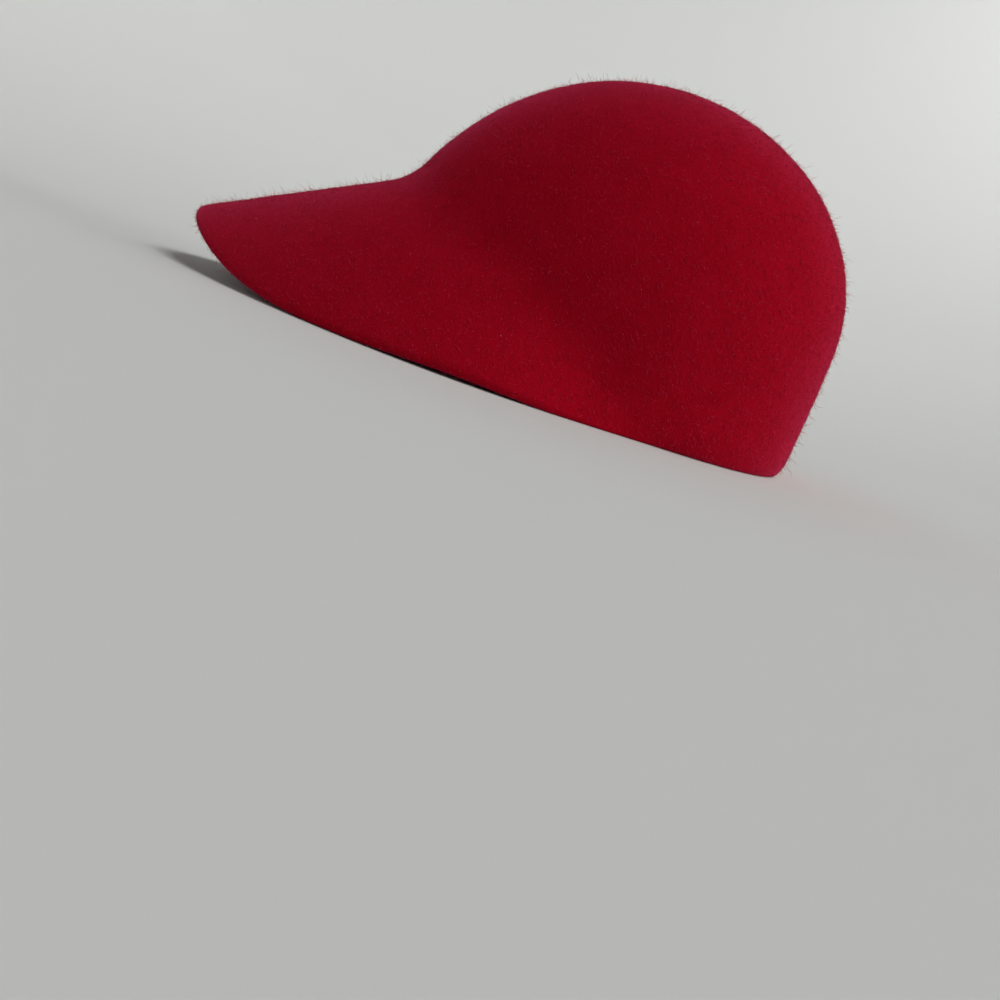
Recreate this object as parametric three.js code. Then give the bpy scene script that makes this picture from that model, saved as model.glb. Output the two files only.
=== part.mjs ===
// A felt cap blocked from one piece of felt: a tall oval crown that flows, over a soft
// valley, into a long arched peak. The flare of the peak runs back past the ears and
// fades there, and behind it the crown's wall draws in a little towards the rim. All
// round the rim the felt is turned under, so the edge is round and twice as thick.
//
// Millimetres. +Z is up and the peak points towards -Y, so +X is the wearer's left. The
// origin is the middle of the head opening, on the plane that the rim rests on.
import * as THREE from 'three';

// ---------------------------------------------------------------- the felt
const WALL = 2.4;         // thickness of the felt
const RIM = 5.0;          // thickness of the rim, where the felt is turned under
const HEM_HEIGHT = 15.0;  // how far the turned felt reaches up the inside
const HEM_FADE = 4.0;     // length over which the hem thins back to the single wall
const RIM_PRESS = 0.6;    // how much the felt's own weight flattens the rim on a table

// ---------------------------------------------------------------- the crown
// reach is how far the wall stands from the middle. It is upright up to wallTop, apart
// from drawIn, which it loses towards the rim, and above wallTop it is part of an ellipse.
const CROWN_HEIGHT = 144;
const CROWN = {
  front: { reach: 117, wallTop: 18, drawIn: 0 },
  side: { reach: 83.5, wallTop: 38, drawIn: 0 },
  back: { reach: 99, wallTop: 58, drawIn: 1.5 },
};

// ---------------------------------------------------------------- the flare and the peak
// One row for every ROW_TURN degrees, from the middle of the peak round to the back. The
// last row holds the rest of the way, and the cap is the same on both sides. The rim
// reaches the table beside the peak, and again from the ears round the back.
//   bendUp    height at which the wall starts to bend outwards
//   bendSize  length of wall, and of flare, that the bend takes up
//   camber    how far the flare arches up between the bend and the edge
//   edgeOut   how far the edge stands out from the corner of the bend
//   edgeUp    height of the edge, before the turned rim's roundness and RIM_PRESS
const ROW_TURN = 20;
const FLARE = [
  { bendUp: 80, bendSize: 10, camber: -2.5, edgeOut: 101, edgeUp: 35 },
  { bendUp: 78, bendSize: 13, camber: 5.5, edgeOut: 68, edgeUp: 5.5 },
  { bendUp: 66, bendSize: 11, camber: 3, edgeOut: 46, edgeUp: 0.5 },
  { bendUp: 57, bendSize: 8, camber: -1.5, edgeOut: 31.5, edgeUp: 5 },
  { bendUp: 46, bendSize: 10, camber: -1.5, edgeOut: 16, edgeUp: 2.5 },
  { bendUp: 30, bendSize: 17, camber: 0, edgeOut: 1.5, edgeUp: -0.6 },
  { bendUp: 23, bendSize: 18, camber: 0, edgeOut: -5.5, edgeUp: -1.2 },
  { bendUp: 20, bendSize: 15, camber: 0, edgeOut: -3.5, edgeUp: -1.2 },
];

// ---------------------------------------------------------------- how finely it is faceted
const SECTIONS = 60;     // sections round the cap
const DOME_POINTS = 24;  // points that shape the dome on each section
const DOME_STEPS = 12;   // rings between the bend and the top
const BEND_STEPS = 5;    // rings on the bend
const FLARE_STEPS = 6;   // rings between the hem and the bend
const NOSE_STEPS = 3;    // rings on each side of the rim's tip
const LEAST_SPAN = 10;   // least length of wall that the rings of the flare or the bend share

const FELT_RED = 0x8c0d22;

// A cubic B-spline through the rows: smooth all the way round, level at the middle of
// the peak, and never beyond the rows that it lies between.
function flareAt(turn) {
  const place = THREE.MathUtils.radToDeg(turn) / ROW_TURN;
  const first = Math.floor(place);
  const t = place - first;
  const weights = [
    (1 - t) ** 3 / 6,
    (3 * t ** 3 - 6 * t ** 2 + 4) / 6,
    (-3 * t ** 3 + 3 * t ** 2 + 3 * t + 1) / 6,
    t ** 3 / 6,
  ];
  const flare = { bendUp: 0, bendSize: 0, camber: 0, edgeOut: 0, edgeUp: 0 };
  weights.forEach((weight, k) => {
    const row = FLARE[Math.min(Math.abs(first - 1 + k), FLARE.length - 1)];
    for (const name in flare) flare[name] += weight * row[name];
  });
  return flare;
}

// How far one side of the crown stands from the middle at a height.
function reachAt({ reach, wallTop, drawIn }, height) {
  if (height < wallTop) return reach - drawIn * ((wallTop - height) / wallTop) ** 2;
  const rise = (height - wallTop) / (CROWN_HEIGHT - wallTop);
  return reach * Math.sqrt(1 - rise ** 2);
}

// The crown is an oval at every height: half of an ellipse in front, half of one behind.
function crownRadius(turn, height) {
  const end = Math.cos(turn) > 0 ? CROWN.front : CROWN.back;
  const lengthwise = Math.cos(turn) / reachAt(end, height);
  const sideways = Math.sin(turn) / reachAt(CROWN.side, height);
  return 1 / Math.hypot(lengthwise, sideways);
}

// The outer face of one section, from the top of the crown to the edge, as a path of
// radius and height in three curves: the dome, the bend, and the arch of the flare.
function outerPath(turn) {
  const { bendUp, bendSize, camber, edgeOut, edgeUp } = flareAt(turn);
  const dome = [new THREE.Vector2(0, CROWN_HEIGHT)];
  for (let i = 1; i <= DOME_POINTS; i += 1) {
    const height = CROWN_HEIGHT - (CROWN_HEIGHT - bendUp) * (i / DOME_POINTS) ** 2;
    dome.push(new THREE.Vector2(crownRadius(turn, height), height));
  }
  const bendStart = dome.at(-1);
  const justAbove = new THREE.Vector2(crownRadius(turn, bendUp + 0.1), bendUp + 0.1);
  const downTheWall = bendStart.clone().sub(justAbove).normalize();
  const corner = bendStart.clone().addScaledVector(downTheWall, bendSize);
  const edge = new THREE.Vector2(corner.x + edgeOut, edgeUp);
  const across = edge.clone().sub(corner);
  const outward = new THREE.Vector2(-across.y, across.x).normalize();
  const middle = corner.clone().lerp(edge, 0.5).addScaledVector(outward, 2 * camber);
  const flare = new THREE.QuadraticBezierCurve(corner, middle, edge);

  // the bend leaves the wall and joins the flare without a kink
  const bendShare = Math.min(bendSize / across.length(), 0.5);
  const bendEnd = flare.getPoint(bendShare);
  const bendPull = (2 / 3) * bendEnd.distanceTo(corner);
  const leave = bendStart.clone().lerp(corner, 2 / 3);
  const join = bendEnd.clone().addScaledVector(flare.getTangent(bendShare), -bendPull);
  const belowBend = middle.clone().lerp(edge, bendShare);

  const path = new THREE.Path();
  path.moveTo(dome[0].x, dome[0].y);
  path.splineThru(dome.slice(1));
  path.bezierCurveTo(leave.x, leave.y, join.x, join.y, bendEnd.x, bendEnd.y);
  path.quadraticCurveTo(belowBend.x, belowBend.y, edge.x, edge.y);
  return path;
}

// Thickness of the felt at a distance up from the edge: the turned hem, then the wall.
function thicknessAt(fromEdge) {
  const single = THREE.MathUtils.smoothstep(fromEdge, HEM_HEIGHT, HEM_HEIGHT + HEM_FADE);
  return THREE.MathUtils.lerp(RIM, WALL, single);
}

// One section as a closed strip of felt: out from the middle of the crown's top, down to
// the round tip of the rim, and back up the inside. What would lie under the table is
// pressed flat on it.
function sectionOutline(turn) {
  const path = outerPath(turn);
  const length = path.getLength();
  const noseRadius = RIM / 2;
  const outer = [];
  const inner = [];
  const addPair = (fromEdge, outerInset, innerInset) => {
    const share = 1 - fromEdge / length;
    const point = path.getPointAt(share);
    const along = path.getTangentAt(share);
    const inward = new THREE.Vector2(along.y, -along.x);
    outer.push(point.clone().addScaledVector(inward, outerInset));
    inner.push(point.clone().addScaledVector(inward, innerInset));
  };

  for (let i = 0; i < NOSE_STEPS; i += 1) {
    const angle = (i / NOSE_STEPS) * (Math.PI / 2);
    const halfWidth = noseRadius * Math.sin(angle);
    addPair(noseRadius * (1 - Math.cos(angle)), noseRadius - halfWidth, noseRadius + halfWidth);
  }
  const hemTop = HEM_HEIGHT + HEM_FADE;
  const [domeLength, lengthToBendEnd] = path.getCurveLengths();
  const bendLow = Math.max(length - lengthToBendEnd, hemTop + LEAST_SPAN);
  const bendHigh = Math.max(length - domeLength, bendLow + LEAST_SPAN);
  const spans = [
    { from: hemTop, to: bendLow, steps: FLARE_STEPS },
    { from: bendLow, to: bendHigh, steps: BEND_STEPS },
    { from: bendHigh, to: length, steps: DOME_STEPS },
  ];
  const stations = [noseRadius, HEM_HEIGHT / 2, HEM_HEIGHT, hemTop];
  for (const { from, to, steps } of spans) {
    for (let i = 1; i <= steps; i += 1) stations.push(THREE.MathUtils.lerp(from, to, i / steps));
  }
  for (const fromEdge of stations) addPair(fromEdge, 0, thicknessAt(fromEdge));

  // the tip belongs to both faces, so it is taken once
  const outline = [...outer.reverse(), ...inner.slice(1)];
  for (const point of outline) point.y = Math.max(point.y - RIM_PRESS, 0);
  return outline;
}

// The sections, joined ring by ring into one closed skin with a single point at the top
// of each face. The right half's facets mirror the left half's.
function capGeometry() {
  const positions = [0, 0, CROWN_HEIGHT - RIM_PRESS, 0, 0, CROWN_HEIGHT - RIM_PRESS - WALL];
  const topOutside = 0;
  const topInside = 1;
  let rings = 0;
  for (let s = 0; s < SECTIONS; s += 1) {
    const around = (s / SECTIONS) * Math.PI * 2;
    const turn = Math.min(around, Math.PI * 2 - around);
    const outline = sectionOutline(turn).slice(1, -1);
    rings = outline.length;
    for (const { x: radius, y: height } of outline) {
      positions.push(radius * Math.sin(around), -radius * Math.cos(around), height);
    }
  }

  const vertex = (section, ring) => 2 + (section % SECTIONS) * rings + ring;
  const triangles = [];
  for (let s = 0; s < SECTIONS; s += 1) {
    triangles.push(topOutside, vertex(s, 0), vertex(s + 1, 0));
    for (let r = 0; r < rings - 1; r += 1) {
      const [a, b, c, d] = [vertex(s, r), vertex(s, r + 1), vertex(s + 1, r + 1), vertex(s + 1, r)];
      if (s < SECTIONS / 2) triangles.push(a, b, c, a, c, d);
      else triangles.push(a, b, d, b, c, d);
    }
    triangles.push(topInside, vertex(s + 1, rings - 1), vertex(s, rings - 1));
  }

  const geometry = new THREE.BufferGeometry();
  geometry.setAttribute('position', new THREE.Float32BufferAttribute(positions, 3));
  geometry.setIndex(triangles);
  geometry.computeVertexNormals();
  return geometry;
}

const felt = new THREE.MeshStandardMaterial({ color: FELT_RED, roughness: 0.95, metalness: 0 });
const feltCap = new THREE.Mesh(capGeometry(), felt);
feltCap.name = 'felt_cap';

const cap = new THREE.Group();
cap.add(feltCap);

export default cap;
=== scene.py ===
# %% [markdown]
# # A felt cap with a long peak
# The cap is blocked: a hood of wool felt is steamed, pulled over a wooden block and left
# to dry in its shape. There are no panels and no seams. One skin of felt makes a tall
# oval crown, flows over a soft valley into the peak, and is turned under at the rim.
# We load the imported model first, because every size below has to agree with it.

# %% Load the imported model
import math
from collections import namedtuple

import bpy
import numpy as np
from mathutils import Matrix, Vector, noise


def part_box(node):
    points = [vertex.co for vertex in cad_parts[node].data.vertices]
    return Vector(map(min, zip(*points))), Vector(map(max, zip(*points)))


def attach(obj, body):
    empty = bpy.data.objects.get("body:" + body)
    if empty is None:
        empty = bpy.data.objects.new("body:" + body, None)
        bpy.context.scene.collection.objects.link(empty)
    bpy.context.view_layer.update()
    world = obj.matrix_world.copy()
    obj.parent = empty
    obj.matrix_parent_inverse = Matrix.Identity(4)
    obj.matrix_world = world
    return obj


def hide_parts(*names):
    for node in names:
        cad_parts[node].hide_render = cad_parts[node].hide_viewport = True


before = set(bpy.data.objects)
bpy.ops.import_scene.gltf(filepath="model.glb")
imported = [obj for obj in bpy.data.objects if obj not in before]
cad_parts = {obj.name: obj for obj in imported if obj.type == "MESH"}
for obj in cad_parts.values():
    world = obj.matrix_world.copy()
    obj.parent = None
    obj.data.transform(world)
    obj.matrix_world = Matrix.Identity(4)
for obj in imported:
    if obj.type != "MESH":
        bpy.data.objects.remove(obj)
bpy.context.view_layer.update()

MM = 0.001
cap_low, cap_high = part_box("felt_cap")
print("felt_cap is", [round((b - a) / MM, 1) for a, b in zip(cap_low, cap_high)], "mm")

# %% [markdown]
# ## The block's shape
# A hatter's block can be told in a few sizes: how far the crown stands from the middle in
# front, at the side and behind, how high it is, and how the flare of the peak changes on
# the way round. The crown is an oval at every height. The flare gets one row for every
# twenty degrees from the middle of the peak round to the back, and a smooth curve runs
# through the rows. The rows are in millimetres, as on a workshop drawing.

# %% Sizes of the crown and the flare
Side = namedtuple("Side", "reach wall_top draw_in")
Flare = namedtuple("Flare", "bend_up bend_size camber edge_out edge_up")

CROWN_HEIGHT = 144.0
CROWN_FRONT = Side(reach=117, wall_top=18, draw_in=0)
CROWN_SIDE = Side(reach=83.5, wall_top=38, draw_in=0)
CROWN_BACK = Side(reach=99, wall_top=58, draw_in=1.5)
TINY = 1e-9

ROW_TURN = 20.0
FLARE = [
    Flare(bend_up=80, bend_size=10, camber=-2.5, edge_out=101, edge_up=35),
    Flare(bend_up=78, bend_size=13, camber=5.5, edge_out=68, edge_up=5.5),
    Flare(bend_up=66, bend_size=11, camber=3, edge_out=46, edge_up=0.5),
    Flare(bend_up=57, bend_size=8, camber=-1.5, edge_out=31.5, edge_up=5),
    Flare(bend_up=46, bend_size=10, camber=-1.5, edge_out=16, edge_up=2.5),
    Flare(bend_up=30, bend_size=17, camber=0, edge_out=1.5, edge_up=-0.6),
    Flare(bend_up=23, bend_size=18, camber=0, edge_out=-5.5, edge_up=-1.2),
    Flare(bend_up=20, bend_size=15, camber=0, edge_out=-3.5, edge_up=-1.2),
]


def flare_at(turn):
    """The flare at an angle from the middle of the peak, by a B-spline through the rows."""
    place = math.degrees(turn) / ROW_TURN
    first = math.floor(place)
    t = place - first
    weights = (
        (1 - t) ** 3,
        3 * t**3 - 6 * t**2 + 4,
        -3 * t**3 + 3 * t**2 + 3 * t + 1,
        t**3,
    )
    rows = [FLARE[min(abs(first - 1 + k), len(FLARE) - 1)] for k in range(4)]
    columns = zip(*rows)
    return Flare(*(sum(w * v for w, v in zip(weights, column)) / 6 for column in columns))


def reach_at(side, height):
    """How far one side of the crown stands from the middle, at an array of heights."""
    below = np.clip((side.wall_top - height) / side.wall_top, 0, None)
    rise = np.clip((height - side.wall_top) / (CROWN_HEIGHT - side.wall_top), 0, 1)
    return side.reach * np.sqrt(1 - rise**2) - side.draw_in * below**2


def crown_radius(turn, height):
    """The crown's oval: half of an ellipse in front, half of another behind."""
    end = reach_at(CROWN_FRONT if math.cos(turn) > 0 else CROWN_BACK, height)
    side = reach_at(CROWN_SIDE, height)
    lengthwise = math.cos(turn) / np.maximum(end, TINY)
    sideways = math.sin(turn) / np.maximum(side, TINY)
    return 1 / np.hypot(lengthwise, sideways)


print("the flare at the ear:", [round(v, 1) for v in flare_at(math.radians(90))], "mm")

# %% [markdown]
# ## Down the outer face
# Cut the cap with an upright plane through its middle and the cut runs down the dome,
# round the bend and along the flare. The dome comes from the oval. The flare is a shallow
# arch, which a Bezier curve with one handle gives, and the bend is one with two handles,
# so that it leaves the wall and joins the flare without a kink. Each of its handles goes
# two thirds of the way to the corner that the bend rounds off.

# %% The outer face of one section
DOME_POINTS = 120
BEND_POINTS = 40
FLARE_POINTS = 24
SLOPE_STEP = 0.01
MOST_OF_FLARE = 0.5


def curve_through(*handles, points):
    """Points on a Bezier curve with these handles, without its first point."""
    t = np.linspace(0, 1, points + 1)[1:, None]
    while len(handles) > 1:
        handles = [a + (b - a) * t for a, b in zip(handles, handles[1:])]
    return handles[0]


def outer_face(turn):
    """Points of radius and height from the top to the edge, how far along the face each
    lies, and how long the face is down to the bend and past it."""
    flare = flare_at(turn)
    drop = np.linspace(0, 1, DOME_POINTS) ** 2
    height = CROWN_HEIGHT - (CROWN_HEIGHT - flare.bend_up) * drop
    radius = crown_radius(turn, height)
    radius[0] = 0
    dome = np.stack([radius, height], 1)

    start = dome[-1]
    higher = start[1] + SLOPE_STEP
    above = np.array([float(crown_radius(turn, higher)), higher])
    down_the_wall = (start - above) / np.linalg.norm(start - above)
    corner = start + down_the_wall * flare.bend_size
    edge = np.array([corner[0] + flare.edge_out, flare.edge_up])
    across = edge - corner
    outward = np.array([-across[1], across[0]]) / np.linalg.norm(across)
    middle = (corner + edge) / 2 + outward * 2 * flare.camber

    share = min(flare.bend_size / np.linalg.norm(across), MOST_OF_FLARE)
    above_end = corner + (middle - corner) * share
    below_end = middle + (edge - middle) * share
    end = above_end + (below_end - above_end) * share
    up_the_flare = (above_end - end) / np.linalg.norm(above_end - end)
    leave = start + (corner - start) * 2 / 3
    join = end + up_the_flare * np.linalg.norm(end - corner) * 2 / 3

    bend = curve_through(start, leave, join, end, points=BEND_POINTS)
    arch = curve_through(end, below_end, edge, points=FLARE_POINTS)
    points = np.concatenate([dome, bend, arch])
    steps = np.linalg.norm(np.diff(points, axis=0), axis=1)
    along = np.concatenate([[0], np.cumsum(steps)])
    return points, along, along[DOME_POINTS - 1], along[DOME_POINTS - 1 + BEND_POINTS]


side_face = outer_face(math.radians(90))
print("from the top down to the rim, over the ear:", round(side_face[1][-1]), "mm of felt")

# %% [markdown]
# ## One section of the felt
# The felt is 2.4 mm thick, and 5 mm where the hem is turned under. The rim's tip is half
# a circle. A real hem shows on the outside as the faintest ridge, so the outer face swells
# a little over it. What would lie below the table is pressed flat on it by the cap's own
# weight. The rings lie closest where the face bends most.

# %% Both faces of one section
WALL = 2.4
RIM = 5.0
HEM_HEIGHT = 15.0
HEM_FADE = 4.0
HEM_SWELL = 0.18
RIM_PRESS = 0.6

NOSE_STEPS = 6
HEM_STEPS = 12
FLARE_STEPS = 20
BEND_STEPS = 18
DOME_STEPS = 48
LEAST_SPAN = 10.0
SLOPE_REACH = 0.4


def fade(x):
    """A smooth step from 0 to 1."""
    x = np.clip(x, 0, 1)
    return x * x * (3 - 2 * x)


def ring_places(length, to_bend, to_bend_end):
    """How far from the edge each ring lies, and the half width of the round tip there."""
    nose = RIM / 2
    hem_top = HEM_HEIGHT + HEM_FADE
    bend_low = max(length - to_bend_end, hem_top + LEAST_SPAN)
    bend_high = max(length - to_bend, bend_low + LEAST_SPAN)
    angle = np.linspace(0, math.pi / 2, NOSE_STEPS + 1)
    places = [nose * (1 - np.cos(angle))]
    marks = [nose, hem_top, bend_low, bend_high, length]
    counts = [HEM_STEPS, FLARE_STEPS, BEND_STEPS, DOME_STEPS]
    for low, high, steps in zip(marks, marks[1:], counts):
        places.append(np.linspace(low, high, steps + 1)[1:])
    from_edge = np.concatenate(places)
    half = np.full(len(from_edge), nose)
    half[: NOSE_STEPS + 1] = nose * np.sin(angle)
    return from_edge, half


def section(turn):
    """The outer points and the inner points from the rim to the top, the way down the
    outer face at each, and each one's distance from the rim."""
    points, along, to_bend, to_bend_end = outer_face(turn)
    length = along[-1]
    from_edge, half = ring_places(length, to_bend, to_bend_end)

    def at(distance):
        return np.stack([np.interp(distance, along, points[:, k]) for k in (0, 1)], 1)

    here = length - from_edge
    down = at(np.minimum(here + SLOPE_REACH, length)) - at(np.maximum(here - SLOPE_REACH, 0))
    down /= np.linalg.norm(down, axis=1)[:, None]
    inward = np.stack([down[:, 1], -down[:, 0]], 1)

    nose = RIM / 2
    above_hem = fade((from_edge - HEM_HEIGHT) / HEM_FADE)
    swell = HEM_SWELL * fade((from_edge - nose) / nose) * (1 - above_hem)
    thick = np.where(from_edge < nose, nose + half, RIM + (WALL - RIM) * above_hem)
    outer = at(here) + inward * (nose - half - swell)[:, None]
    inner = at(here) + inward * thick[:, None]
    for face in (outer, inner):
        face[:, 1] = np.maximum(face[:, 1] - RIM_PRESS, 0)
    return outer, inner, down, from_edge


back_outer = section(math.radians(180))[0]
print("a section has", 2 * len(back_outer), "points")
print("the cap is", round(back_outer[:, 1].max(), 1), "mm high")

# %% [markdown]
# ## The skin of felt
# The sections are joined ring by ring into one closed skin, with a single point at the top
# of each face. Numpy works out all the places at once, which is much faster than adding
# vertices one by one. Hand-blocked felt is never quite even, so a slow noise moves both
# faces together by a fraction of a millimetre. It fades out towards the rim, which rests on
# the table, and towards the top, where the sections meet. An attribute says how thickly the
# fibres will grow: fully outside, thinly inside, and not at all where the rim rests.

# %% Work out all of the felt's points
SECTIONS = 200
UNEVEN = 0.35
UNEVEN_SIZE = 30.0
FINER = 2.7
FINER_SHARE = 0.35
EVEN_RIM = 4.0
RIM_FADE = 20.0
TOP_FADE = 12.0


def cap_points():
    """The outer face, the inner face and the way down, for every section and ring."""
    faces = ([], [], [])
    from_edge = []
    for s in range(SECTIONS):
        around = s / SECTIONS * 2 * math.pi
        turn = min(around, 2 * math.pi - around)
        *flat, distance = section(turn)
        spoke = np.array([math.sin(around), -math.cos(around), 0])
        for face, drawn in zip(faces, flat):
            face.append(drawn[:, :1] * spoke + drawn[:, 1:] * np.array([0, 0, 1]))
        from_edge.append(distance)
    return [np.array(a) for a in (*faces, from_edge)]


def unevenness(points):
    """How far the blocking left each point off its true place, in millimetres."""
    places = [Vector(p) for p in points.reshape(-1, 3) / UNEVEN_SIZE]
    heights = [noise.noise(p) + FINER_SHARE * noise.noise(p * FINER) for p in places]
    return np.array(heights).reshape(points.shape[:2]) * UNEVEN


outer, inner, down, from_edge = cap_points()
normal = np.cross(np.roll(outer, -1, axis=0) - np.roll(outer, 1, axis=0), down)
normal /= np.maximum(np.linalg.norm(normal, axis=2), TINY)[..., None]
shift = unevenness(outer) * fade((from_edge - EVEN_RIM) / RIM_FADE)
shift *= fade(np.linalg.norm(outer[..., :2], axis=2) / TOP_FADE)
outer += normal * shift[..., None]
inner += normal * shift[..., None]
print("blocking left the felt up to", round(np.abs(shift).max(), 2), "mm uneven")

# %% Join them into one closed skin
GROWTH_INSIDE = 0.15
RESTS_BELOW = 0.01
CM2_PER_M2 = 1e4


def from_top_to_top(out, ins):
    """Values for every ring: down the outer face, round the tip and up the inner face.
    The tip belongs to both faces, so it is taken once, and the two tops are left off."""
    return np.concatenate([out[:, -2::-1], ins[:, 1:-1]], axis=1)


def build_felt(name):
    strip = from_top_to_top(outer, inner)
    outside = from_top_to_top(np.ones(from_edge.shape), np.zeros(from_edge.shape))
    rings = strip.shape[1]
    tops = np.array([[0, 0, outer[0, -1, 2]], [0, 0, inner[0, -1, 2]]])
    places = np.concatenate([tops, strip.reshape(-1, 3)]) * MM

    index = 2 + np.arange(SECTIONS * rings).reshape(SECTIONS, rings)
    after = np.roll(index, -1, axis=0)
    quads = np.stack([index[:, :-1], index[:, 1:], after[:, 1:], after[:, :-1]], -1)
    outside_fan = np.stack([np.zeros(SECTIONS, int), index[:, 0], after[:, 0]], -1)
    inside_fan = np.stack([np.ones(SECTIONS, int), after[:, -1], index[:, -1]], -1)
    faces = quads.reshape(-1, 4).tolist() + outside_fan.tolist() + inside_fan.tolist()
    mesh = bpy.data.meshes.new(name)
    mesh.from_pydata(places.tolist(), [], faces)
    mesh.polygons.foreach_set("use_smooth", np.ones(len(mesh.polygons), bool))

    grows = np.where(outside > 0, 1, GROWTH_INSIDE)
    grows[strip[..., 2] <= RESTS_BELOW] = 0
    growth = np.concatenate([[1, GROWTH_INSIDE], grows.ravel()])
    mesh.attributes.new("growth", "FLOAT", "POINT").data.foreach_set("value", growth)
    mesh.update()
    felt = bpy.data.objects.new(name, mesh)
    bpy.context.scene.collection.objects.link(felt)
    return felt


felt = build_felt("felt")
felt_area = sum(p.area for p in felt.data.polygons)
print("felt:", len(felt.data.polygons), "faces")
print("its two sides have", round(felt_area * CM2_PER_M2), "square centimetres")

# %% [markdown]
# ## The look of wool felt
# Felt is a mat of crimped fibres. It is deep and dull from every side, so it has next to
# no gloss, only a pink bloom where it is seen at a slant, which the Principled shader's
# sheen gives. The colour is broken up on three scales: soft clouds where the dye took
# differently, flecks where fibres bunch, and a fine grain whose pits are darker, partly
# the felt's own grain and partly painted shade in its small hollows. A bump from the
# flecks and the grain keeps the light from sliding over the surface.

# %% A helper for node trees
def node_adder(tree):
    """A function that adds a node to this tree, and links or sets its inputs."""

    def add(kind, inputs=(), **settings):
        node = tree.nodes.new(kind)
        for key, value in settings.items():
            setattr(node, key, value)
        for key, value in dict(inputs).items():
            if isinstance(value, bpy.types.NodeSocket):
                tree.links.new(value, node.inputs[key])
            else:
                node.inputs[key].default_value = value
        return node

    return add


def new_material(name):
    """An empty node material with a Principled shader, and a function that adds nodes."""
    material = bpy.data.materials.new(name)
    material.use_nodes = True
    tree = material.node_tree
    tree.nodes.clear()
    add = node_adder(tree)
    shader = add("ShaderNodeBsdfPrincipled")
    add("ShaderNodeOutputMaterial", {"Surface": shader.outputs["BSDF"]})
    return material, shader, add, tree.links.new


# %% What all of the wool has in common
WOOL = {
    "Roughness": 1.0,
    "Specular IOR Level": 0.02,
    "Sheen Weight": 0.45,
    "Sheen Roughness": 0.36,
    "Sheen Tint": (1, 0.11, 0.33, 1),
}


def set_wool(shader):
    """Give a shader next to no gloss, and a pink bloom at a slant."""
    for key, value in WOOL.items():
        shader.inputs[key].default_value = value


# %% [markdown]
# The dye is a deep red with next to no green or blue in it. Each pattern begins to show at
# the noise value From Min and shows most at From Max. For the pits that is the lower of
# the two, because they are where the grain is thin.

# %% The felt's colours and the sizes of its patterns
FELT_DEEP = (0.325, 0.0008, 0.0088, 1)
FELT_BRIGHT = (0.365, 0.0016, 0.0122, 1)
# The pits' darker red is partly the grain's own and partly painted shade in its small hollows,
# where the grain's bump is low.
FELT_PIT_SHADE = (0.24, 0.0002, 0.0050, 1)
FELT_FLECK = (0.48, 0.0080, 0.0260, 1)

CLOUDS = {"Scale": 70, "Detail": 3, "Roughness": 0.6}
GRAIN = {"Scale": 2200, "Detail": 2, "Roughness": 0.7}
FLECKS = {"Scale": 900, "Detail": 2, "Distortion": 0.8}
CLOUDS_SHOW = {"From Min": 0.3, "From Max": 0.7}
PIT_SHADE_SHOWS = {"From Min": 0.56, "From Max": 0.34, "To Max": 0.7}
FLECKS_SHOW = {"From Min": 0.5, "From Max": 0.72, "To Max": 0.15}
FELT_BUMP = {"Strength": 0.45, "Distance": 0.3 * MM}


# %% The felt's material
def felt_material():
    material, shader, add, link = new_material("crimson_wool_felt")
    place = add("ShaderNodeTexCoord").outputs["Object"]

    def pattern(sizes):
        return add("ShaderNodeTexNoise", {"Vector": place, **sizes}).outputs["Fac"]

    def lay_over(under, over, pattern_here, shows):
        """Lay one colour over another as far as a pattern shows."""
        amount = add("ShaderNodeMapRange", {"Value": pattern_here, **shows}).outputs["Result"]
        colours = {"Factor": amount, "A": under, "B": over}
        return add("ShaderNodeMix", colours, data_type="RGBA").outputs["Result"]

    flecks = pattern(FLECKS)
    grain = pattern(GRAIN)
    ground = lay_over(FELT_DEEP, FELT_BRIGHT, pattern(CLOUDS), CLOUDS_SHOW)
    # Painted shade, in part: the grain's hollows are coloured darker.
    pit_shaded = lay_over(ground, FELT_PIT_SHADE, grain, PIT_SHADE_SHOWS)
    flecked = lay_over(pit_shaded, FELT_FLECK, flecks, FLECKS_SHOW)
    link(flecked, shader.inputs["Base Color"])

    height = add("ShaderNodeMath", {0: flecks, 1: grain}, operation="ADD").outputs[0]
    bump = add("ShaderNodeBump", {"Height": height, **FELT_BUMP}).outputs["Normal"]
    link(bump, shader.inputs["Normal"])
    set_wool(shader)
    return material


felt.data.materials.append(felt_material())
print("felt finish:", felt.data.materials[0].name)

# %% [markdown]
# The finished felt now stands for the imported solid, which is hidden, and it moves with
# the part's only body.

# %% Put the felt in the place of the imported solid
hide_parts("felt_cap")
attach(felt, "root")

# %% [markdown]
# ## Loose fibres
# Felt never ends at a clean edge: short fibres lie on it, and fibre ends stand off it and
# blur its outline. Painting them would leave the outline hard, so they are real geometry.
# Geometry Nodes is the right tool, because one small thing is repeated over a whole
# surface: scatter points, put a fibre on each, turn it the way the felt was brushed, and
# give it a random length. One tree makes every kind of fibre from the inputs below.

# %% Start the tree and name its inputs
FIBRE_INPUTS = {
    "Per square metre": "NodeSocketFloat",
    "Twist": "NodeSocketFloat",
    "Length": "NodeSocketFloat",
    "Thickness": "NodeSocketFloat",
    "Lowest lift": "NodeSocketFloat",
    "Highest lift": "NodeSocketFloat",
    "Stray": "NodeSocketFloat",
    "Crimp": "NodeSocketFloat",
    "Pieces": "NodeSocketInt",
    "Seed": "NodeSocketInt",
    "Finish": "NodeSocketMaterial",
}

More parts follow.
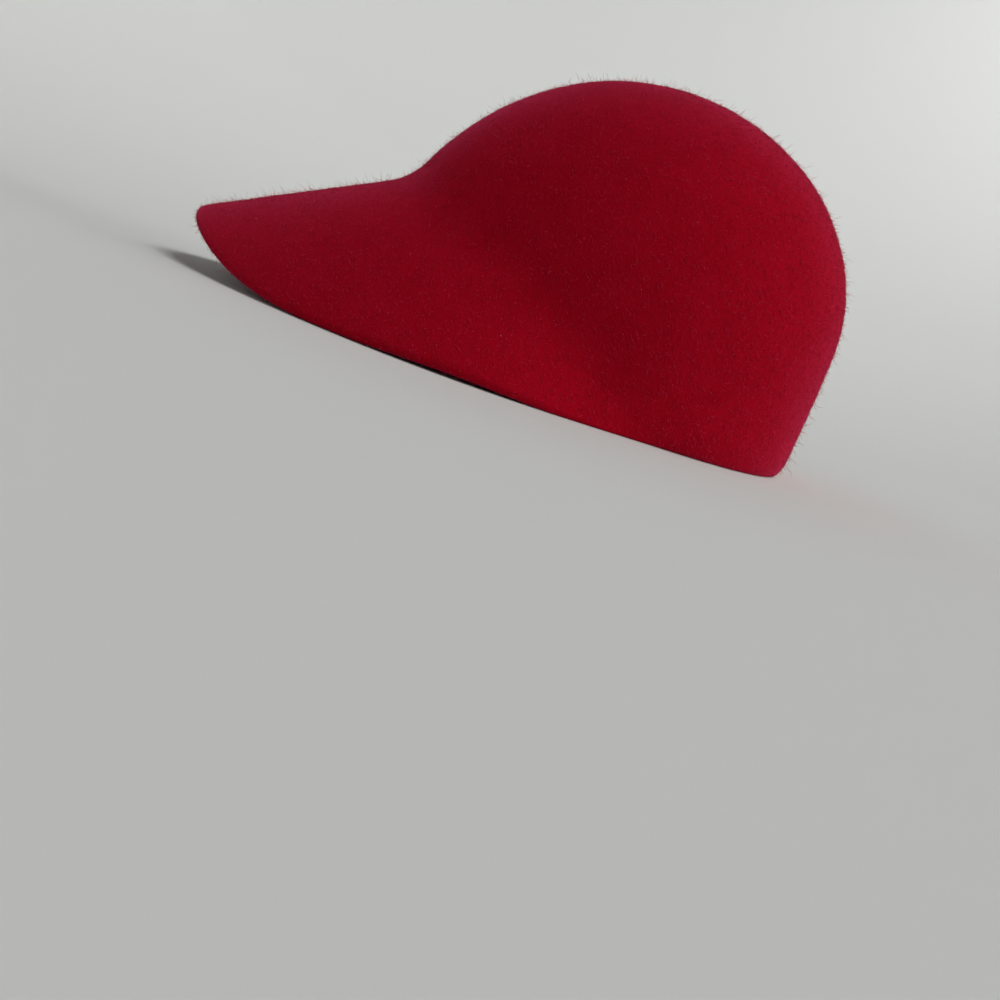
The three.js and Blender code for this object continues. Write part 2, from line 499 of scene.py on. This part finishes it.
fibre_tree = bpy.data.node_groups.new("fibres_on_felt", "GeometryNodeTree")
fibre_tree.is_modifier = True
fibre_tree.interface.new_socket("Felt", in_out="INPUT", socket_type="NodeSocketGeometry")
for name, kind in FIBRE_INPUTS.items():
    fibre_tree.interface.new_socket(name, in_out="INPUT", socket_type=kind)
fibre_tree.interface.new_socket("Fibres", in_out="OUTPUT", socket_type="NodeSocketGeometry")

add_step = node_adder(fibre_tree)
given = add_step("NodeGroupInput").outputs


def maths(operation, a, b=0.0):
    return add_step("ShaderNodeMath", {0: a, 1: b}, operation=operation).outputs[0]


def vector_maths(operation, a, b=(0, 0, 0)):
    second = "Scale" if operation == "SCALE" else 1
    return add_step("ShaderNodeVectorMath", {0: a, second: b}, operation=operation).outputs[0]


def random_between(low, high, draw):
    """A random number for each fibre. Each draw is a different one."""
    seed = maths("ADD", given["Seed"], float(draw))
    sockets = {"Min": low, "Max": high, "Seed": seed}
    return add_step("FunctionNodeRandomValue", sockets, data_type="FLOAT").outputs["Value"]


print("the tree takes", [socket.name for socket in given if socket.name])

# %% [markdown]
# A finished hat is brushed round and down, in one sweep from its top to its rim. Two cross
# products with the normal leave the part of "down" that lies in the surface, and a turn
# about the normal adds the sweep round. A fibre follows the brush, strays to one side,
# and lifts off the felt by an angle. Two random numbers multiplied make most fibres stray
# a little and a few stray far. The angle's cosine says how much of the fibre lies down
# and its sine how much stands up.

# %% Scatter the fibres and point them
growth = add_step("GeometryNodeInputNamedAttribute", {"Name": "growth"}, data_type="FLOAT")
density = maths("MULTIPLY", given["Per square metre"], growth.outputs["Attribute"])
scatter = add_step(
    "GeometryNodeDistributePointsOnFaces",
    {"Mesh": given["Felt"], "Density": density, "Seed": given["Seed"]},
    distribute_method="RANDOM",
)
normal_here = scatter.outputs["Normal"]
level = vector_maths("CROSS_PRODUCT", normal_here, (0, 0, -1))
downhill = vector_maths("NORMALIZE", vector_maths("CROSS_PRODUCT", level, normal_here))
chance = maths("MULTIPLY", random_between(-1.0, 1.0, 1), random_between(0.0, 1.0, 2))
turned_by = maths("ADD", given["Twist"], maths("MULTIPLY", given["Stray"], chance))
strayed = add_step(
    "ShaderNodeVectorRotate",
    {"Vector": downhill, "Axis": normal_here, "Angle": turned_by},
    rotation_type="AXIS_ANGLE",
).outputs[0]
lift = random_between(given["Lowest lift"], given["Highest lift"], 3)
lying = vector_maths("SCALE", strayed, maths("COSINE", lift))
standing = vector_maths("SCALE", normal_here, maths("SINE", lift))
pointing = vector_maths("ADD", lying, standing)

# %% [markdown]
# One fibre is a bowed line, one unit long, with a three-sided skin that swells in the
# middle and ends in a point at both ends. Where the skin has no thickness its three
# corners are merged into one, so the shortest fibre is closed with only six triangles,
# and tens of thousands of them can be made.

# %% Shape one fibre
BOW_STEPS = 16
SIDES = 3
WELD = 0.0001

bow = add_step("ShaderNodeCombineXYZ", {"X": given["Crimp"], "Z": 0.5}).outputs[0]
line = add_step(
    "GeometryNodeCurveQuadraticBezier",
    {"Resolution": BOW_STEPS, "Start": (0, 0, 0), "Middle": bow, "End": (0, 0, 1)},
).outputs[0]
stations = maths("ADD", given["Pieces"], 1)
rail = add_step("GeometryNodeResampleCurve", {"Curve": line, "Count": stations}).outputs[0]
along_it = add_step("GeometryNodeSplineParameter").outputs["Factor"]
swelling = maths("SINE", maths("MULTIPLY", along_it, math.pi))
slimness = maths("DIVIDE", given["Thickness"], given["Length"])
slice_radius = maths("MULTIPLY", slimness, 0.5)
slice_of_it = add_step(
    "GeometryNodeCurvePrimitiveCircle", {"Resolution": SIDES, "Radius": slice_radius}
).outputs[0]
skin = add_step(
    "GeometryNodeCurveToMesh", {"Curve": rail, "Profile Curve": slice_of_it, "Scale": swelling}
).outputs[0]
welded = add_step("GeometryNodeMergeByDistance", {"Geometry": skin, "Distance": WELD})
one_fibre = welded.outputs[0]

# %% [markdown]
# Each fibre is rolled about its own length, so that no two bow the same way. Its length
# follows the square of a random number, so most are short and a few are much longer. A
# fibre whose end would reach the table is left out.

# %% Set a fibre on each point
ABOVE_TABLE = 0.4 * MM
MOST_ROLL = 1.6
SHORTEST = 0.4
LONGEST = 2.0

turned = add_step(
    "FunctionNodeAxesToRotation",
    {"Primary Axis": pointing, "Secondary Axis": normal_here},
    primary_axis="Z",
    secondary_axis="X",
).outputs[0]
roll_angle = random_between(-MOST_ROLL, MOST_ROLL, 4)
roll = add_step(
    "FunctionNodeAxisAngleToRotation", {"Axis": (0, 0, 1), "Angle": roll_angle}
).outputs[0]
rolled = add_step(
    "FunctionNodeRotateRotation", {"Rotation": turned, "Rotate By": roll}, rotation_space="LOCAL"
).outputs[0]
mostly_small = maths("POWER", random_between(0.0, 1.0, 5), 2.0)
stretch = add_step(
    "ShaderNodeMapRange", {"Value": mostly_small, "To Min": SHORTEST, "To Max": LONGEST}
).outputs[0]
length = maths("MULTIPLY", given["Length"], stretch)
here = add_step("GeometryNodeInputPosition").outputs[0]
tip = vector_maths("ADD", here, vector_maths("SCALE", pointing, length))
tip_height = add_step("ShaderNodeSeparateXYZ", {"Vector": tip}).outputs["Z"]
clear = maths("GREATER_THAN", tip_height, ABOVE_TABLE)
placed = add_step(
    "GeometryNodeInstanceOnPoints",
    {
        "Points": scatter.outputs["Points"],
        "Selection": clear,
        "Instance": one_fibre,
        "Rotation": rolled,
        "Scale": length,
    },
).outputs[0]
real = add_step("GeometryNodeRealizeInstances", {"Geometry": placed}).outputs[0]
smooth = add_step("GeometryNodeSetShadeSmooth", {"Geometry": real, "Shade Smooth": True}).outputs[0]
finished = add_step(
    "GeometryNodeSetMaterial", {"Geometry": smooth, "Material": given["Finish"]}
).outputs[0]
add_step("NodeGroupOutput", {"Fibres": finished})
print("the fibre tree has", len(fibre_tree.nodes), "nodes")

# %% [markdown]
# ## Grow them
# The same tree gives every kind. The nap lies down in three shades, because single dyed
# fibres differ. Fuzz stands up and roughens the outline, with a few long hairs that the
# felting missed. A few strays are grey, from whatever the cap was last laid on, and a few
# specks of lint are pale. A helper sets the tree's inputs, takes the result as a plain
# mesh, and leaves no modifier behind.

# %% A helper that grows one kind of fibre
BRUSHED_ROUND = math.radians(38)


def fibre_material(name, colour):
    material, shader, *_ = new_material(name)
    shader.inputs["Base Color"].default_value = (*colour, 1)
    set_wool(shader)
    return material


def grow(name, colour, seed, **sizes):
    """One kind of fibre all over the felt, as a plain mesh. Lengths are in millimetres, the
    lift is in degrees and the stray in radians."""
    wanted = {
        "Per square metre": sizes["per_cm2"] * CM2_PER_M2,
        "Twist": BRUSHED_ROUND,
        "Length": sizes["length"] * MM,
        "Thickness": sizes["thickness"] * MM,
        "Lowest lift": math.radians(sizes["lift"][0]),
        "Highest lift": math.radians(sizes["lift"][1]),
        "Stray": sizes["stray"],
        "Crimp": sizes["crimp"],
        "Pieces": sizes["pieces"],
        "Seed": seed,
        "Finish": fibre_material(name, colour),
    }
    grower = felt.copy()
    bpy.context.scene.collection.objects.link(grower)
    modifier = grower.modifiers.new("fibres", "NODES")
    modifier.node_group = fibre_tree
    for item in fibre_tree.interface.items_tree:
        if item.in_out == "INPUT" and item.name in wanted:
            modifier[item.identifier] = wanted[item.name]
    bpy.context.view_layer.update()
    grown = grower.evaluated_get(bpy.context.evaluated_depsgraph_get())
    mesh = bpy.data.meshes.new_from_object(grown)
    bpy.data.objects.remove(grower)
    mesh.name = name
    fibres = bpy.data.objects.new(name, mesh)
    bpy.context.scene.collection.objects.link(fibres)
    print(name, "has", sum(len(p.vertices) - 2 for p in mesh.polygons), "triangles")
    return fibres


# %% Grow the nap in three shades
NAP_SHADES = {
    "nap_deep": (0.36, 0.0020, 0.0120),
    "nap_crimson": (0.42, 0.0050, 0.0200),
    "nap_rose": (0.50, 0.0140, 0.0400),
}
NAP = dict(
    per_cm2=29, length=1.5, thickness=0.08, lift=(2, 12), stray=0.8, crimp=0.14, pieces=2
)
FIRST_NAP_SEED = 10
fibre_kinds = [
    grow(name, colour, seed, **NAP)
    for seed, (name, colour) in enumerate(NAP_SHADES.items(), FIRST_NAP_SEED)
]

# %% Grow the fuzz, the hairs, the strays and the lint
ANY_WAY = 3.1
FUZZ = dict(per_cm2=29, length=1.3, thickness=0.085, lift=(30, 88), crimp=0.12, pieces=2)
HAIRS = dict(per_cm2=5, length=3.0, thickness=0.065, lift=(15, 80), crimp=0.18, pieces=4)
STRAYS = dict(per_cm2=0.04, length=4.0, thickness=0.05, lift=(25, 80), crimp=0.5, pieces=8)
LINT = dict(per_cm2=0.03, length=0.8, thickness=0.12, lift=(0, 20), crimp=0.4, pieces=4)
LOOSE_KINDS = {
    "fuzz": ((0.65, 0.0400, 0.0900), 31, FUZZ),
    "long_hairs": ((0.38, 0.0180, 0.0400), 36, HAIRS),
    "grey_strays": ((0.12, 0.09, 0.09), 41, STRAYS),
    "pale_lint": ((0.62, 0.42, 0.42), 51, LINT),
}
for name, (colour, seed, sizes) in LOOSE_KINDS.items():
    fibre_kinds.append(grow(name, colour, seed, stray=ANY_WAY, **sizes))

# %% Let the fibres belong to the felt
for fibres in fibre_kinds:
    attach(fibres, "root")

# %% [markdown]
# ## The studio
# The cap stands on a pale round sweep: a floor that curves up into a wall on all sides, so
# that no edge or horizon shows, whichever way the camera turns. The curve is wide, because
# a tight one would show as a line where the light changes. Its sizes are in metres.

# %% The sweep
FLOOR_RADIUS = 0.45
SWEEP_CURVE = 1.7
WALL_TOP = 2.4
FIRST_RING = 0.22
SWEEP_STEPS = 96
CURVE_POINTS = 40
FLOOR_LEVEL = -0.2 * MM
PAPER = (0.60, 0.605, 0.592, 1)
PAPER_ROUGHNESS = 0.9


def sweep_outline():
    """Radius and height from the floor's inner ring, up the curve, to the wall's top."""
    bend = [
        (FLOOR_RADIUS + SWEEP_CURVE * math.sin(a), SWEEP_CURVE * (1 - math.cos(a)))
        for a in np.linspace(0, math.pi / 2, CURVE_POINTS)
    ]
    return [(FIRST_RING, 0), *bend, (FLOOR_RADIUS + SWEEP_CURVE, WALL_TOP)]


def build_sweep():
    outline = sweep_outline()
    rings = len(outline)
    places = [(0, 0, FLOOR_LEVEL)]
    faces = []
    for i in range(SWEEP_STEPS):
        a = i / SWEEP_STEPS * 2 * math.pi
        places += [(r * math.cos(a), r * math.sin(a), z + FLOOR_LEVEL) for r, z in outline]
        spoke = 1 + i * rings
        after = 1 + (i + 1) % SWEEP_STEPS * rings
        faces.append((0, spoke, after))
        for k in range(rings - 1):
            faces.append((spoke + k, spoke + k + 1, after + k + 1, after + k))
    mesh = bpy.data.meshes.new("sweep")
    mesh.from_pydata(places, [], faces)
    mesh.polygons.foreach_set("use_smooth", np.ones(len(faces), bool))
    material, shader, *_ = new_material("pale_paper")
    shader.inputs["Base Color"].default_value = PAPER
    shader.inputs["Roughness"].default_value = PAPER_ROUGHNESS
    mesh.materials.append(material)
    sweep = bpy.data.objects.new("sweep", mesh)
    bpy.context.scene.collection.objects.link(sweep)
    return sweep


sweep = build_sweep()
print("the sweep has", len(sweep.data.polygons), "faces")

# %% [markdown]
# The cap is lit by soft boxes so large and so far away that each can be a sun with a wide
# disc. All of them stand on the side of the nape. Far lamps light the cap and the paper
# behind it alike, and the paper lets their light through from outside, as a tent of thin
# cloth would.

# %% The lamps for the cap
SOFTNESS = math.radians(34)

sweep.visible_shadow = False


def direction(turn, rise):
    """The way out from the cap, turned about it from its peak and raised."""
    level = math.cos(rise)
    return Vector((level * math.sin(turn), -level * math.cos(turn), math.sin(rise)))


def hang(light, place, facing):
    lamp = bpy.data.objects.new(light.name, light)
    lamp.location = place
    lamp.rotation_euler = facing.to_track_quat("-Z", "Y").to_euler()
    bpy.context.scene.collection.objects.link(lamp)
    return lamp


def soft_light(name, turn, rise, strength):
    light = bpy.data.lights.new(name, "SUN")
    light.angle = SOFTNESS
    light.energy = strength
    away = direction(math.radians(turn), math.radians(rise))
    hang(light, away, -away)


soft_light("window", turn=150, rise=55, strength=0.6)
soft_light("behind_low", turn=175, rise=10, strength=1.15)
soft_light("behind_high", turn=180, rise=63, strength=1.15)

# %% [markdown]
# One disc lamp hangs beyond the cap and is turned away from it. It brightens the paper
# behind the cap towards the nape, and the camera doesn't see the lamp itself. Its size and
# place are in metres and its power is in watts. The room adds no light of its own, and
# colours are shown as they are, without a film look.

# %% The lamp for the wall, and the room
WASH_SIZE = 0.8
WASH_POWER = 16
WASH_PLACE = (-0.9, 0.9, 1.6)
WASH_FACING = Vector((-1, 0.1, -0.35))

wash = bpy.data.lights.new("wall_wash", "AREA")
wash.shape = "DISK"
wash.size = WASH_SIZE
wash.energy = WASH_POWER
hang(wash, WASH_PLACE, WASH_FACING).visible_camera = False

room = bpy.data.worlds.new("room")
room.use_nodes = True
room.node_tree.nodes["Background"].inputs["Strength"].default_value = 0.0
bpy.context.scene.world = room
bpy.context.scene.view_settings.view_transform = "Standard"
bpy.context.scene.view_settings.look = "None"

# %% [markdown]
# ## The camera
# The camera looks at the cap's left side from close by, a little above the table and
# slightly upwards. The cap leans in the frame, so the camera is rolled. The cap also sits
# right of and above the middle of the frame, so the camera is turned away from it, by two
# angles whose tangents are given here.

# %% The camera
VIEW_TURN = math.radians(89.1)
VIEW_RISE = math.radians(-2.9)
VIEW_ROLL = math.radians(20.3)
VIEW_DISTANCE = 0.5106
LOOK_AT = Vector((0, 0, 0.070))
RIGHT_OF_MIDDLE = 0.1246
ABOVE_MIDDLE = 0.2238
LENS = 39
SENSOR = 36
NEAREST = 0.01


def build_camera():
    away = direction(VIEW_TURN, VIEW_RISE)
    level_right = (-away).cross(Vector((0, 0, 1))).normalized()
    level_up = level_right.cross(-away)
    right = math.cos(VIEW_ROLL) * level_right + math.sin(VIEW_ROLL) * level_up
    up = math.cos(VIEW_ROLL) * level_up - math.sin(VIEW_ROLL) * level_right
    facing = Matrix((right, up, away)).transposed()
    aside = Vector((0, 0, -1)).rotation_difference(Vector((RIGHT_OF_MIDDLE, ABOVE_MIDDLE, -1)))
    lens = bpy.data.cameras.new("camera")
    lens.lens = LENS
    lens.sensor_width = SENSOR
    lens.clip_start = NEAREST
    camera = bpy.data.objects.new("camera", lens)
    turned = facing @ aside.to_matrix().inverted()
    camera.matrix_world = Matrix.Translation(LOOK_AT + away * VIEW_DISTANCE) @ turned.to_4x4()
    bpy.context.scene.collection.objects.link(camera)
    bpy.context.scene.camera = camera
    return camera


camera = build_camera()
print("the camera is", round(camera.location.z / MM), "mm above the floor")
